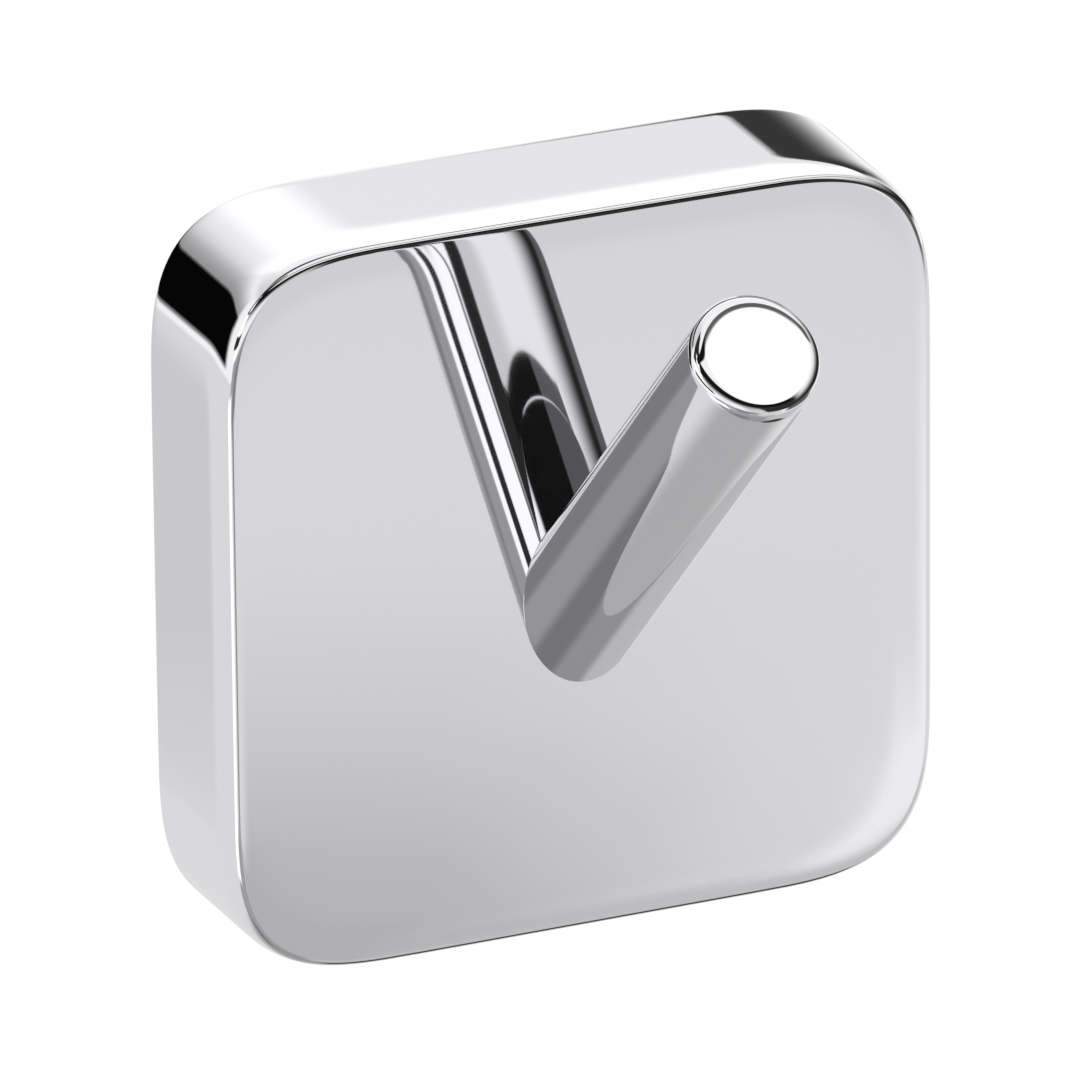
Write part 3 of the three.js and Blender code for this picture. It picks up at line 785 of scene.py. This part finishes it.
def grub_screw():
    """Rows from the socket's bottom out to its lower end, up the thread and into the cup."""
    length = grub_high[2] - grub_low[2]
    angle = 2 * np.pi * np.arange(SCREW_COLUMNS) / SCREW_COLUMNS
    hexagon = HEX_WIDTH / 2 / np.cos((angle + np.pi / 6) % (np.pi / 3) - np.pi / 6)
    columns = np.ones((1, SCREW_COLUMNS))
    socket_axial = np.array([HEX_DEPTH + HEX_BOTTOM, HEX_DEPTH, HEX_CHAMFER, 0, 0])[:, None] * columns
    bottom, mouth = HEX_BOTTOM_SHARE * hexagon, hexagon + HEX_CHAMFER
    face_radius = grub_radius - GRUB_CHAMFER
    socket_radius = np.vstack([bottom, hexagon, hexagon, mouth, face_radius * columns])
    thread_end = length - grub_radius + CUP_RADIUS
    axial, radius = thread(
        GRUB_CHAMFER, thread_end, MACHINE_PITCH, grub_radius, GRUB_MINOR, MACHINE_SHARPNESS)
    cup_axial = np.array([length, length - CUP_EDGE, length - CUP_DEPTH])[:, None] * columns
    cup_radius = np.array([CUP_RADIUS, CUP_RADIUS - CUP_EDGE, CUP_BOTTOM_RADIUS])[:, None] * columns
    axial = np.vstack([socket_axial, axial * columns, cup_axial])
    radius = np.vstack([socket_radius, radius, cup_radius])
    return skin("grub_screw", turned_rings(axial, radius, (0, grub_centre[1], grub_low[2]), "z"))


seat(grub_screw(), "grub_screw", THREAD_CREASE)

# %% [markdown]
# ## The wall plugs
#
# A plug is a moulded sleeve with saw teeth that grip the hole, split from its far end so that the screw can
# spread it. The sleeve is a tube of rings whose radius follows the teeth, and a thin bar cuts the split.

# %% Wall plugs
PLUG_NECK = 8 * MM
PLUG_RIM = 1.5 * MM
PLUG_TIP = 2.7 * MM
PLUG_TEETH = 6
PLUG_TOOTH = 0.5 * MM
PLUG_SPLIT = 0.9 * MM
PLUG_EDGE = 0.2 * MM
PLUG_TOOTH_EDGE = 0.05 * MM
PLUG_CREASE = 40


def wall_plug(node):
    """Tube: up the bore backwards, out over the front rim, along the neck, over the teeth and in at the tip."""
    low, high = box_of(node)
    length, outer = high[1] - low[1], (high[0] - low[0]) / 2
    bore = SCREW_RADIUS + HOLE_CLEARANCE
    edge = PLUG_EDGE
    pitch = (length - PLUG_NECK - PLUG_RIM) / PLUG_TEETH
    foot = PLUG_NECK + pitch * np.arange(PLUG_TEETH)
    crest = foot + pitch
    teeth_axial = np.stack([foot, foot + edge, crest - edge, crest - PLUG_TOOTH_EDGE], axis=-1).ravel()
    root = outer - PLUG_TOOTH
    teeth_radius = np.tile([root, root, outer - PLUG_TOOTH_EDGE, outer], PLUG_TEETH)
    axial = np.hstack([length, 0, 0, edge, PLUG_NECK - edge, teeth_axial, length - edge, length])
    radius = np.hstack([bore, bore, outer - edge, outer, outer, teeth_radius, PLUG_TIP, PLUG_TIP - edge])
    centre = (0, low[1], (low[2] + high[2]) / 2)
    sleeve = skin(node, turned_rings(axial[:, None], radius[:, None], centre, "y"), tube=True)
    x = 2 * outer * np.array([1, -1, -1, 1])
    z = PLUG_SPLIT / 2 * np.array([-1, -1, 1, 1]) + centre[2]
    slit = np.stack([x, np.full_like(x, low[1] + PLUG_NECK), z], axis=-1)
    return carve(sleeve, "DIFFERENCE", [prism("slit", slit, (0, length, 0))])


for node in ("wall_plug_upper", "wall_plug_lower"):
    plug_mesh = wall_plug(node)
    plug_mesh.materials.clear()
    seat(plug_mesh, node, PLUG_CREASE)

# %% [markdown]
# ## The wall bracket
#
# The bracket is one strip of steel, pressed into a channel. Its side view, with an inner and an outer bend, is
# carried across the width, the flange corners are rounded off, and crossed slots take the wall screws so that
# the hook can be levelled. A bevel modifier breaks the sheared edges.

# %% Bracket
SHEET = 2 * MM
BEND_ROUND = 1 * MM
FLANGE_CORNER = 3 * MM
SLOT_HALF_WIDTH = 2.4 * MM
SLOT_LENGTH = 7 * MM
RELIEF_MARGIN = 1.6 * MM
RELIEF_DEPTH = 0.5 * MM
SHEARED_EDGE = 0.12 * MM
BRACKET_CREASE = 40
BEND_ROWS = 12
SLOT_ROWS = 17
OVERSHOOT = 1 * MM


def channel():
    """Side view of the channel, carried across its width.

    The points run anticlockwise as seen from +X: inner bends, lower flange, outer bends, upper flange.
    """
    reach, half = -bracket_low[1], bracket_high[2]
    outer = BEND_ROUND + SHEET
    sine, cosine = arc(BEND_ROWS)
    inner_y, inner_z = BEND_ROUND * cosine - outer, half - outer + BEND_ROUND * sine
    outer_y, outer_z = outer * cosine - outer, half - outer + outer * sine
    y = np.hstack([-reach, inner_y[::-1], inner_y, -reach, -reach, outer_y[::-1], outer_y, -reach])
    z = np.hstack([half - SHEET, inner_z[::-1], -inner_z, SHEET - half, -half, -outer_z[::-1], outer_z, half])
    side = np.stack([np.full_like(y, bracket_low[0]), y, z], axis=-1)
    return prism("wall_bracket", side, (bracket_high[0] - bracket_low[0], 0, 0))


def corner_cutter(side, height):
    """What a round takes off a flange's corner: the square corner less a quarter circle."""
    reach, edge = bracket_low[1], bracket_high[0]
    beyond, before = edge + OVERSHOOT, reach - OVERSHOOT
    sine, cosine = arc(BEND_ROWS)
    x = np.hstack([edge - FLANGE_CORNER * (1 - sine), beyond, beyond, edge - FLANGE_CORNER])
    y = np.hstack([reach + FLANGE_CORNER * (1 - cosine), reach + FLANGE_CORNER, before, before])
    x, y = (x, y) if side > 0 else (-x[::-1], y[::-1])
    plan = np.stack([x, y, np.full_like(x, height - 2 * SHEET)], axis=-1)
    return prism("corner", plan[::-1], (0, 0, 4 * SHEET))


def slot_cutter(half_width, length, height, upright, near, far):
    """Stadium bar through the plate, level or upright, between two depths from the wall."""
    straight = length / 2 - half_width
    sine, cosine = arc(SLOT_ROWS, -np.pi / 2, np.pi / 2)
    along = np.hstack([straight + half_width * cosine, -straight - half_width * cosine])
    across = half_width * np.hstack([sine, -sine])
    x, z = (-across, along) if upright else (along, across)
    front = np.stack([x, np.full_like(x, -near), z + height], axis=-1)
    return prism("slot", front, (0, near - far, 0))


cutters = [corner_cutter(side, height) for side in (-1, 1) for height in (bracket_low[2], bracket_high[2])]
for node, upright in (("wall_screw_upper", False), ("wall_screw_lower", True)):
    low, high = box_of(node)
    height = (low[2] + high[2]) / 2
    slot = SLOT_HALF_WIDTH, SLOT_LENGTH
    cutters.append(slot_cutter(*slot, height, upright, -OVERSHOOT, SHEET + OVERSHOOT))
    relief = SLOT_HALF_WIDTH + RELIEF_MARGIN, SLOT_LENGTH + 2 * RELIEF_MARGIN
    cutters.append(slot_cutter(*relief, height, upright, -OVERSHOOT, RELIEF_DEPTH))
bracket_mesh = carve(channel(), "DIFFERENCE", cutters)
bracket_mesh.materials.clear()
seat(bracket_mesh, "wall_bracket", BRACKET_CREASE, SHEARED_EDGE)

# %% [markdown]
# ## Studio
#
# Chrome has almost no colour of its own: what it shows is the room round it. So the room is set up as for
# photographs of polished metal, with even white light, a pale floor, and cards held round the hook that give
# each side something darker or lighter to show. The camera sees a plain white background, without the cards.

# %% White room and pale floor
FLOOR_COLOUR = "#e4e4e6"
FLOOR_DROP = 2.5
FLOOR_HALF = 12.0


def white_room():
    """Even white world of strength 1, for the light and for what the camera and the metal see."""
    world = bpy.data.worlds.new("white_room")
    world.use_nodes = True
    tree = world.node_tree
    tree.nodes.clear()
    shine = add_node(tree, "Background", {"Color": (1, 1, 1, 1), "Strength": 1.0})
    add_node(tree, "OutputWorld", Surface=shine.outputs["Background"])
    scene.world = world


def floor_finish():
    """Pale matt paint. The camera and polished surfaces see plain white, so that the background is even."""
    finish, tree = new_finish("pale_matt_floor")
    paint = add_node(tree, "BsdfDiffuse", {"Color": linear(FLOOR_COLOUR)})
    white = add_node(tree, "Emission", {"Strength": 1.0})
    ray = add_node(tree, "LightPath")
    straight = add_node(tree, "Math", {"operation": "MAXIMUM"})
    tree.links.new(ray.outputs["Is Camera Ray"], straight.inputs[0])
    tree.links.new(ray.outputs["Is Glossy Ray"], straight.inputs[1])
    either = add_node(tree, "Math", {"operation": "MAXIMUM"})
    tree.links.new(straight.outputs["Value"], either.inputs[0])
    tree.links.new(ray.outputs["Is Transmission Ray"], either.inputs[1])
    seen = add_node(tree, "MixShader", Fac=either.outputs["Value"])
    tree.links.new(paint.outputs["BSDF"], seen.inputs[1])
    tree.links.new(white.outputs["Emission"], seen.inputs[2])
    add_node(tree, "OutputMaterial", Surface=seen.outputs["Shader"])
    return finish


white_room()
scene.view_settings.view_transform = "Standard"
corners = FLOOR_HALF * np.array([[-1, -1, 0], [1, -1, 0], [1, 1, 0], [-1, 1, 0]])
corners[:, 2] -= FLOOR_DROP
floor_mesh = bpy.data.meshes.new("floor")
floor_mesh.from_pydata(corners.tolist(), [], [(0, 1, 2, 3)])
floor_mesh.materials.append(floor_finish())
floor_piece = bpy.data.objects.new("floor", floor_mesh)
scene.collection.objects.link(floor_piece)
print("floor:", 2 * FLOOR_HALF, "m wide,", FLOOR_DROP, "m below the hook")

# %% [markdown]
# ### Cards round the hook
#
# A card is a part of a sphere: azimuth 0 is in front of the hook, 90 on its right and 180 behind the wall, and
# elevation is up from level. It glows evenly and fades out towards its edges, as a card does that is out of
# focus. How solid it is at each point is worked out with the grid and kept as an attribute of the mesh.
#
# Two of the cards are arches, tipped back until their pole lies along the peg's mirror image in the face: what
# the peg and the face show each other lies on such rings. A dark ribbon on the wall plane, above the hook,
# shows in the peg as well, and lengthens the dark arch that the face leaves in it.

# %% Studio cards
CARD_STEP = 1.0
FAR = 2.0
PEG_TIP_BACK = 90 - PEG_ANGLE
STUDIO_CARDS = (
    # name, azimuths, elevations, reach in metres, brightness, fade at the left, right, bottom and top, and
    # for an arch how far it is tipped back; angles are in degrees
    ("pale_board_all_round", (-182, 182), (-89.9, -11.5), FAR + 0.05, 0.77, (0.1, 0.1, 0.1, 0.5)),
    ("grey_board_below_front", (-80, 75), (-89, -25), FAR, 0.34, (8, 12, 1, 12)),
    ("grey_board_below_back", (60, 300), (-89, -42), FAR + 0.02, 0.45, (12, 12, 1, 22)),
    ("dark_card_below_left", (-62, -12), (-74, -43), FAR - 0.04, 0.22, (8, 18, 8, 9)),
    ("pale_card_below_right", (14, 80), (-66, -25), FAR - 0.04, 0.58, (7, 10, 9, 4)),
    ("dark_card_below_right", (46, 125), (-80, -57), FAR - 0.06, 0.05, (6, 8, 3, 4)),
    ("grey_card_front_left", (-62, 8), (-54, -5), FAR - 0.04, 0.38, (3, 10, 14, 1.5)),
    ("dark_card_front_left", (-34, 3), (-25, -9), FAR - 0.06, 0.24, (8, 6, 5, 5)),
    ("pale_strip_front", (-12, 16.2), (-24.6, -19.8), FAR - 0.09, 0.76, (3, 2.5, 1, 1)),
    ("pale_strip_front_left", (-46, -27.5), (-24.6, -19.8), FAR - 0.09, 0.76, (2, 2, 1, 1)),
    ("pale_card_front_right", (28, 44), (-26, -19.3), FAR - 0.09, 0.92, (4, 6, 1, 3)),
    ("pale_card_front", (-12, 31), (-21, 30), FAR, 0.70, (10, 4, 3, 16)),
    ("grey_card_low_front", (2, 25), (-46, -22), FAR - 0.08, 0.49, (8, 3.2, 12, 2.4)),
    ("white_card_low_front", (24.6, 37), (-29.5, -22.5), FAR - 0.1, 0.95, (1.2, 4, 5, 0.8)),
    ("black_card_over_left", (-107, -60), (27, 76), FAR - 0.02, 0.025, (2, 6, 1.5, 2)),
    ("white_card_over_left", (-90, -71), (29, 49), FAR - 0.08, 1.2, (2, 2, 2, 2)),
    ("black_card_over_front", (-74, 44), (8, 52), FAR - 0.04, 0.008, (8, 6, 26, 2)),
    ("black_card_front", (10, 44), (-2, 34), FAR - 0.07, 0.03, (5, 6, 5, 8)),
    ("black_arch", (-58, 13.5), (17.5, 26.5), FAR - 0.12, 0.008, (6, 1.5, 1, 1.5), PEG_TIP_BACK),
    ("dark_arch", (10.5, 58), (17.5, 26.5), FAR - 0.11, 0.12, (1, 6, 1, 1.5), PEG_TIP_BACK),
    ("black_card_right", (28, 135), (-6, 50), FAR, 0.02, (10, 20, 6, 38)),
    ("dark_card_right", (33, 76), (-20, 8), FAR - 0.06, 0.12, (6, 10, 6, 8)),
    ("pale_card_over_left", (-170, -104), (35, 74), FAR, 0.72, (50, 2, 10, 3)),
    ("white_strip_left", (-104, -60), (10, 28), FAR, 1.25, (2, 2, 1, 1)),
    ("black_strip_left", (-104, -52), (1, 10), FAR - 0.02, 0.03, (2, 2, 1, 1)),
    ("white_strip_low_left", (-76, -46), (-5.5, 1.5), FAR, 1.25, (2, 2, 1, 1)),
    ("white_card_low_left", (-88, -42), (-34, -15.5), FAR - 0.06, 1.2, (6, 4, 3, 1.5)),
    ("black_card_back_left", (-175, -120), (-10.5, 17), FAR - 0.02, 0.002, (5, 8, 1.5, 1.5)),
    ("grey_card_back_left", (-184, -120), (8, 40), FAR, 0.33, (12, 8, 2, 24)),
    ("dark_card_back_right", (128, 158.2), (-10, 22.3), FAR - 0.02, 0.04, (8, 2.8, 27, 1)),
    ("white_card_back", (122, 205), (21.8, 56), FAR + 0.02, 1.14, (6, 6, 0.5, 4)),
    ("pale_card_back", (140, 190), (21.5, 28), FAR, 0.88, (4, 8, 0.5, 4)),
    ("white_card_over_right", (28, 58), (51, 62), FAR - 0.1, 1.15, (2, 2, 1, 1)),
    ("pale_card_left", (-180, -150), (-24.4, -10), FAR, 0.65, (4, 4, 2, 1)),
)
RIBBON_ROWS = np.array([49, 53, 66.7, 67]) * MM
RIBBON_SAG = 256 * MM
RIBBON_HALF_SPAN = 80 * MM
RIBBON_FADE = 10 * MM
RIBBON_SPLIT = 11 * MM
RIBBON_COLUMNS = 60
RIBBON_SOLID = np.array([[0], [1], [1], [0]])
RIBBON_BLACK = 0.008
RIBBON_DARK = 0.12


def card_finish(name, brightness):
    """Even glow where the card is solid, and clear air where it isn't."""
    finish, tree = new_finish(name)
    solid = add_node(tree, "Attribute", {"attribute_name": "solid"})
    air = add_node(tree, "BsdfTransparent")
    glow = add_node(tree, "Emission", {"Strength": brightness})
    card = add_node(tree, "MixShader", Fac=solid.outputs["Fac"])
    tree.links.new(air.outputs["BSDF"], card.inputs[1])
    tree.links.new(glow.outputs["Emission"], card.inputs[2])
    add_node(tree, "OutputMaterial", Surface=card.outputs["Shader"])
    return finish


def hang_card(name, points, solid, brightness):
    """Sheet over a grid of points (rows, columns, 3) that only polished surfaces see."""
    rows, columns = solid.shape
    index = np.arange(rows * columns).reshape(rows, columns)
    faces = np.stack([index[:-1, :-1], index[:-1, 1:], index[1:, 1:], index[1:, :-1]], axis=-1)
    mesh = bpy.data.meshes.new(name)
    mesh.from_pydata(points.reshape(-1, 3).tolist(), [], faces.reshape(-1, 4).tolist())
    mesh.attributes.new("solid", "FLOAT", "POINT").data.foreach_set("value", solid.ravel().astype(np.float32))
    mesh.materials.append(card_finish(name, brightness))
    card = bpy.data.objects.new(name, mesh)
    card.visible_camera = card.visible_diffuse = card.visible_shadow = False
    scene.collection.objects.link(card)


def round_card(name, azimuths, elevations, reach, brightness, fade, tip_back=0):
    """Grid of azimuth a and elevation e: reach * (cos(e) sin(a), -cos(e) cos(a), sin(e)), tipped back about x.

    How solid it is rises smoothly from 0 at each edge to 1 at the fade's width inside it.
    """
    columns, rows = (int(np.ptp(span) / CARD_STEP) + 2 for span in (azimuths, elevations))
    a, e = np.meshgrid(np.linspace(*azimuths, columns), np.linspace(*elevations, rows))
    inside = [a - azimuths[0], azimuths[1] - a, e - elevations[0], elevations[1] - e]
    part = np.clip([distance / width for distance, width in zip(inside, fade)], 0, 1)
    solid = np.prod(part ** 2 * (3 - 2 * part), axis=0)
    a, e = np.radians(a), np.radians(e)
    points = np.stack([np.cos(e) * np.sin(a), -np.cos(e) * np.cos(a), np.sin(e)], axis=-1)
    tip = np.array(Matrix.Rotation(np.radians(-tip_back), 3, "X"))
    hang_card(name, reach * points @ tip.T, solid, brightness)


def wall_ribbon(name, left, right, brightness):
    """Ribbon on the wall plane between two places along x: a row's height is its middle's plus x * x / sag."""
    x, z = np.meshgrid(np.linspace(left, right, RIBBON_COLUMNS), RIBBON_ROWS)
    solid = np.clip((RIBBON_HALF_SPAN - np.abs(x)) / RIBBON_FADE, 0, 1) * RIBBON_SOLID
    hang_card(name, np.stack([x, np.zeros_like(x), z + x * x / RIBBON_SAG], axis=-1), solid, brightness)


for card in STUDIO_CARDS:
    round_card(*card)
wall_ribbon("black_ribbon", -RIBBON_HALF_SPAN, RIBBON_SPLIT, RIBBON_BLACK)
wall_ribbon("dark_ribbon", RIBBON_SPLIT, RIBBON_HALF_SPAN, RIBBON_DARK)
print("studio:", len(STUDIO_CARDS), "cards and a ribbon")

# %% [markdown]
# ## Camera
#
# The camera is a long lens from the upper left, so the hook's parallel edges stay almost parallel.

# %% Camera
CAMERA_AZIMUTH = -23.1
CAMERA_ELEVATION = 22.2
CAMERA_ROLL = -0.56
CAMERA_DISTANCE = 1.1598
CAMERA_LENS = 541.4
CAMERA_SENSOR = 36
CAMERA_SEES = 0.01, 20
CAMERA_TARGET = np.array([2.22, 0.0, -2.80]) * MM


def place_camera():
    """Camera on a sphere about its target: azimuth and elevation set its place, and the roll turns it."""
    a, e, q = np.radians([CAMERA_AZIMUTH, CAMERA_ELEVATION, CAMERA_ROLL])
    back = np.array([np.sin(a) * np.cos(e), -np.cos(a) * np.cos(e), np.sin(e)])
    right = np.array([np.cos(a), np.sin(a), 0])
    up = np.cross(back, right)
    rolled_right = right * np.cos(q) + up * np.sin(q)
    rolled_up = up * np.cos(q) - right * np.sin(q)
    camera = bpy.data.objects.new("camera", bpy.data.cameras.new("camera"))
    pose = np.eye(4)
    pose[:3] = np.stack([rolled_right, rolled_up, back, CAMERA_TARGET + back * CAMERA_DISTANCE], axis=1)
    camera.matrix_world = Matrix(pose.tolist())
    camera.data.lens, camera.data.sensor_width = CAMERA_LENS, CAMERA_SENSOR
    camera.data.clip_start, camera.data.clip_end = CAMERA_SEES
    scene.collection.objects.link(camera)
    scene.camera = camera


place_camera()
print("camera:", CAMERA_LENS, "mm lens at", CAMERA_DISTANCE, "m")
